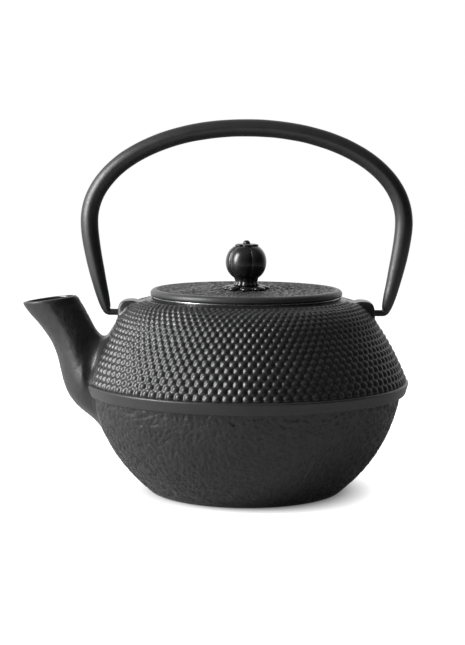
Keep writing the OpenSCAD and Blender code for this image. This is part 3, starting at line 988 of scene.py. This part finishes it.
def make_handle():
    """The bail: a pin, a small bend and a bar with a soft ridge front and back, as one solid."""
    half = bail_line()
    foot = half[0]
    pins = [(PIN_END_X, 0.55), (PIN_END_X + 0.05, 0.8), (PIN_END_X + 0.35, 1.0)]
    pins += [(x, 1.0) for x in np.linspace(PIN_END_X + 1.5, foot[0] - 0.6, 8)]
    pin_rows = np.array([(x, foot[1], PIN_R * size, PIN_R * size) for x, size in pins])
    half = np.vstack([pin_rows, half])
    whole = np.vstack([half, half[-2::-1] * [-1, 1, 1, 1]])
    d = np.gradient(whole[:, :2], axis=0)
    n = np.stack([-d[:, 1], d[:, 0]], axis=-1) / np.linalg.norm(d, axis=1)[:, None]
    sides = 48
    a = np.arange(sides) / sides * TAU
    ridge = smoothstep(1.8, 3.2, whole[:, 3])[:, None]
    power = 2 - 0.45 * ridge
    across = whole[:, 2:3] * np.sign(np.cos(a)) * np.abs(np.cos(a)) ** (2 / power)
    deep = whole[:, 3:4] * np.sign(np.sin(a)) * np.abs(np.sin(a)) ** (2 / power)
    rings = np.stack([whole[:, :1] + n[:, :1] * across, deep, whole[:, 1:2] + n[:, 1:] * across], axis=-1)
    flat = rings.reshape(-1, 3)
    uneven = 0.06 * value_noise(flat, 7.0, seed=41) * np.repeat(ridge[:, 0], sides)
    middle = np.repeat(rings.mean(axis=1), sides, axis=0)
    away = flat - middle
    away /= np.maximum(np.linalg.norm(away, axis=1), 1e-6)[:, None]
    rings = (flat + away * (uneven - 0.06 * np.repeat(ridge[:, 0], sides))[:, None]).reshape(rings.shape)
    obj = radial_solid("bail", rings, [HANDLE_IRON])
    place(obj, "handle", "handle", "handle_iron")


# ---------------------------------------------------------------- strainer
def wires(paths, radius, sides=5):
    """Points and faces of thin wires along rows of points, as (points, faces)."""
    points, faces, start = [], [], 0
    a = np.arange(sides) / sides * TAU
    for path, closed, up in paths:
        if closed:
            d = np.roll(path, -1, axis=0) - np.roll(path, 1, axis=0)
        else:
            d = np.gradient(path, axis=0)
        d /= np.linalg.norm(d, axis=1)[:, None]
        side = np.cross(d, up)
        side /= np.linalg.norm(side, axis=1)[:, None]
        top = np.cross(side, d)
        round_it = np.cos(a)[:, None] * side[:, None] + np.sin(a)[:, None] * top[:, None]
        ring = path[:, None] + radius * round_it
        points.append(ring.reshape(-1, 3))
        faces += grid_faces(len(path), sides, close_rows=closed, start=start)
        if not closed:
            last = start + (len(path) - 1) * sides
            faces.append(tuple(start + k for k in reversed(range(sides))))
            faces.append(tuple(last + k for k in range(sides)))
        start += len(path) * sides
    return np.vstack(points), faces


def over_under(count, start):
    """1 and -1 by turns where a wire crosses others, and 0 halfway between, for a woven wire."""
    step = np.arange(count)
    return np.cos(math.pi * (step / 2 + start)) * (step % 2 == 0)


def make_mesh_wall():
    """The strainer's woven wall: upright wires and rings that pass in and out of one another."""
    low, high = (np.array(corner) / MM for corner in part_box("infuser_wall"))
    radius, wire_r = high[0] - 0.24, 0.125
    weave = 0.11
    count, rows = 160, 28
    z = np.linspace(low[2] + wire_r, high[2] - wire_r, rows * 2 + 1)
    upright = []
    for k in range(count):
        angle = TAU * k / count
        r = radius + weave * over_under(len(z), k)
        outward = np.array([math.cos(angle), math.sin(angle), 0.0])
        path = outward * r[:, None] + np.array([0, 0, 1.0]) * z[:, None]
        upright.append((path, False, np.tile(outward, (len(z), 1))))
    warp = mesh_object("mesh_uprights", *wires(upright, wire_r), [WIRE_STEEL])
    place(warp, "infuser", "infuser_wall", "mesh_steel")
    hoops = []
    angle = np.arange(count * 2) / (count * 2) * TAU
    outward = np.stack([np.cos(angle), np.sin(angle), 0 * angle], axis=-1)
    for row in range(0, rows + 1):
        r = radius - weave * over_under(count * 2, row)
        path = outward * r[:, None] + np.array([0, 0, z[row * 2]])
        hoops.append((path, True, outward))
    weft = mesh_object("mesh_hoops", *wires(hoops, wire_r), [WIRE_STEEL])
    place(weft, "infuser", "infuser_wall", "mesh_steel")


def make_mesh_floor():
    """The strainer's woven floor."""
    low, high = (np.array(corner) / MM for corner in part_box("infuser_base"))
    radius, middle, wire_r, weave, pitch = high[0] - 0.2, (low[2] + high[2]) / 2, 0.115, 0.1, 1.6
    paths = []
    count = int(radius / pitch)
    for k in range(-count, count + 1):
        offset = k * pitch
        reach = math.sqrt(radius ** 2 - offset ** 2)
        half_steps = int(reach / (pitch / 2))
        along = np.arange(-half_steps, half_steps + 1) * pitch / 2
        if len(along) < 3:
            continue
        number = np.round(along / pitch).astype(int)
        over = np.where(np.abs(along / pitch - number) < 0.01, np.cos(math.pi * (number + k)), 0)
        up = np.tile([0, 0, 1.0], (len(along), 1))
        line = np.stack([along, 0 * along + offset, middle + weave * over], axis=-1)
        cross = np.stack([0 * along + offset, along, middle - weave * over], axis=-1)
        paths += [(line, False, up), (cross, False, up)]
    floor = mesh_object("mesh_floor", *wires(paths, wire_r), [WIRE_STEEL])
    place(floor, "infuser", "infuser_base", "mesh_steel")


def make_strainer():
    """The drawn rim with its flange, and the crimped ring round the floor."""
    low, high = (np.array(corner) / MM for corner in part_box("infuser_rim"))
    collar, sheet, flange = COLLAR_R, SHEET_T, high[0]
    top, seat = high[2], SEAT_Z
    inner = collar - sheet
    rim = lathe("strainer_rim", [
        (inner, low[2] + 0.12), (inner + 0.12, low[2]), (collar - 0.1, low[2]), (collar, low[2] + 0.12),
        (collar, low[2] + 2.0), (collar - 0.12, low[2] + 2.35), (collar, low[2] + 2.7),
        (collar, seat - 0.05), (collar + 0.1, seat), (flange - 0.35, seat), (flange - 0.1, seat + 0.1),
        (flange, seat + 0.3), (flange - 0.04, top - 0.18), (flange - 0.25, top - 0.02), (flange - 0.6, top),
        (inner + 1.2, top - 0.02), (inner + 0.55, top - 0.14), (inner + 0.18, top - 0.42),
        (inner, top - 0.9),
        (inner, low[2] + 2.7), (inner - 0.1, low[2] + 2.35), (inner, low[2] + 2.0),
    ], [POLISHED_STEEL], steps=360)
    place(rim, "infuser", "infuser_rim", "polished_steel")
    low, high = (np.array(corner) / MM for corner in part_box("infuser_base_ring"))
    radius, top, base = high[0], high[2], low[2]
    ring = lathe("strainer_foot", [
        (RING_LIP_R, base + 0.15), (RING_LIP_R + 0.15, base), (radius - 0.4, base),
        (radius - 0.1, base + 0.1), (radius, base + 0.4), (radius, top - 0.6),
        (radius - 0.08, top - 0.35), (radius - 0.05, top - 0.08),
        (radius - 0.2, top), (radius - sheet + 0.05, top), (radius - sheet, top - 0.15),
        (radius - sheet, base + sheet), (RING_LIP_R + 0.1, base + sheet), (RING_LIP_R, base + sheet - 0.12),
    ], [POLISHED_STEEL], steps=300)
    place(ring, "infuser", "infuser_base_ring", "polished_steel")


# ---------------------------------------------------------------- stage, light and camera
def make_stage():
    """A pale floor that fades into the white room far from the pot, with a contact shadow painted into its
    glow round the pot.
    """
    line = [(r, FLOOR_DROP) for r in (40, 120, 300, 700, 1200, 1800)]
    theta = np.arange(96) / 96 * TAU
    rings = turned(line, theta)
    points = np.vstack([rings.reshape(-1, 3), [(0, 0, FLOOR_DROP)]])
    # Rings run outwards, so their faces are turned over to look up
    faces = [tuple(reversed(face)) for face in grid_faces(len(line), 96)]
    faces += [(len(points) - 1, k, (k + 1) % 96) for k in range(96)]
    material, nodes, links, shader = new_material("pale_floor")
    shader.inputs["Base Color"].default_value = (0.55, 0.55, 0.55, 1)
    shader.inputs["Roughness"].default_value = 0.7
    shader.inputs["Specular IOR Level"].default_value = 0.1
    shader.inputs["Emission Color"].default_value = (1, 1, 1, 1)
    coordinates = nodes.new("ShaderNodeTexCoord")
    length = nodes.new("ShaderNodeVectorMath")
    length.operation = "LENGTH"
    links.new(coordinates.outputs["Object"], length.inputs[0])
    distance = length.outputs["Value"]
    links.new(ranged(nodes, links, distance, 1, 0, 0.35, 1.5), shader.inputs["Alpha"])
    # The floor glows towards the camera: dim round the pot's foot and nearly white from SHADOW_END_R out, a
    # painted contact shadow. To every other ray it gives off only a faint glow, so the pot reflects a
    # darker floor than the camera sees
    painted_shadow_glow = ranged(nodes, links, distance, 0.1, 0.95, 0.047, SHADOW_END_R * MM)
    path = nodes.new("ShaderNodeLightPath")
    strength = nodes.new("ShaderNodeMix")
    strength.inputs["A"].default_value = 0.05
    links.new(path.outputs["Is Camera Ray"], strength.inputs["Factor"])
    links.new(painted_shadow_glow, strength.inputs["B"])
    links.new(strength.outputs["Result"], shader.inputs["Emission Strength"])
    floor = mesh_object("floor", points, faces, [material])


def area_light(name, place, target, size, power):
    light = bpy.data.lights.new(name, "AREA")
    light.shape = "RECTANGLE"
    light.size, light.size_y = size[0] * MM, size[1] * MM
    light.energy = power
    obj = bpy.data.objects.new(name, light)
    obj.location = Vector(place) * MM
    direction = Vector(target) * MM - obj.location
    obj.rotation_euler = direction.to_track_quat("-Z", "Y").to_euler()
    bpy.context.scene.collection.objects.link(obj)


def make_light():
    """A large soft light on the left, and a room that is white to the camera and, to other rays, brightest
    behind the pot, on the left and above.
    """
    area_light("key", KEY_PLACE, KEY_TARGET, KEY_SIZE, KEY_POWER)
    world = bpy.data.worlds.new("room")
    bpy.context.scene.world = world
    world.use_nodes = True
    nodes, links = world.node_tree.nodes, world.node_tree.links
    background = nodes["Background"]
    background.inputs["Color"].default_value = (1, 1, 1, 1)
    coordinates = nodes.new("ShaderNodeTexCoord")
    split = nodes.new("ShaderNodeSeparateXYZ")
    links.new(coordinates.outputs["Generated"], split.inputs["Vector"])
    behind = ranged(nodes, links, split.outputs["Y"], 0.04, 1.6, 0.2, 0.95)
    left = ranged(nodes, links, split.outputs["X"], 1.0, 0.75, -0.6, 0.7)
    room = maths(nodes, links, "MULTIPLY", behind, left)
    side = ranged(nodes, links, split.outputs["X"], 0.7, 0.0, -0.95, -0.5)
    room = maths(nodes, links, "ADD", room, side)
    above = ranged(nodes, links, split.outputs["Z"], 0.0, 0.22, 0.35, 0.95)
    room = maths(nodes, links, "ADD", room, above)
    path = nodes.new("ShaderNodeLightPath")
    strength = nodes.new("ShaderNodeMix")
    strength.inputs["B"].default_value = 1.0
    links.new(path.outputs["Is Camera Ray"], strength.inputs["Factor"])
    links.new(room, strength.inputs["A"])
    links.new(strength.outputs["Result"], background.inputs["Strength"])


def make_camera():
    """The camera looks a little down at the pot from in front."""
    data = bpy.data.cameras.new("camera")
    data.lens = CAMERA_LENS
    data.clip_end = 20
    camera = bpy.data.objects.new("camera", data)
    camera.location = Vector(CAMERA_PLACE) * MM
    camera.rotation_euler = (math.radians(90 - CAMERA_PITCH), math.radians(CAMERA_ROLL), 0)
    bpy.context.scene.collection.objects.link(camera)
    bpy.context.scene.camera = camera


make_pot()
make_lid()
make_knob()
make_rosette()
make_fasteners()
make_handle()
make_strainer()
make_mesh_wall()
make_mesh_floor()
make_stage()
make_light()
make_camera()
bpy.context.scene.view_settings.view_transform = "Standard"

bpy.context.view_layer.update()
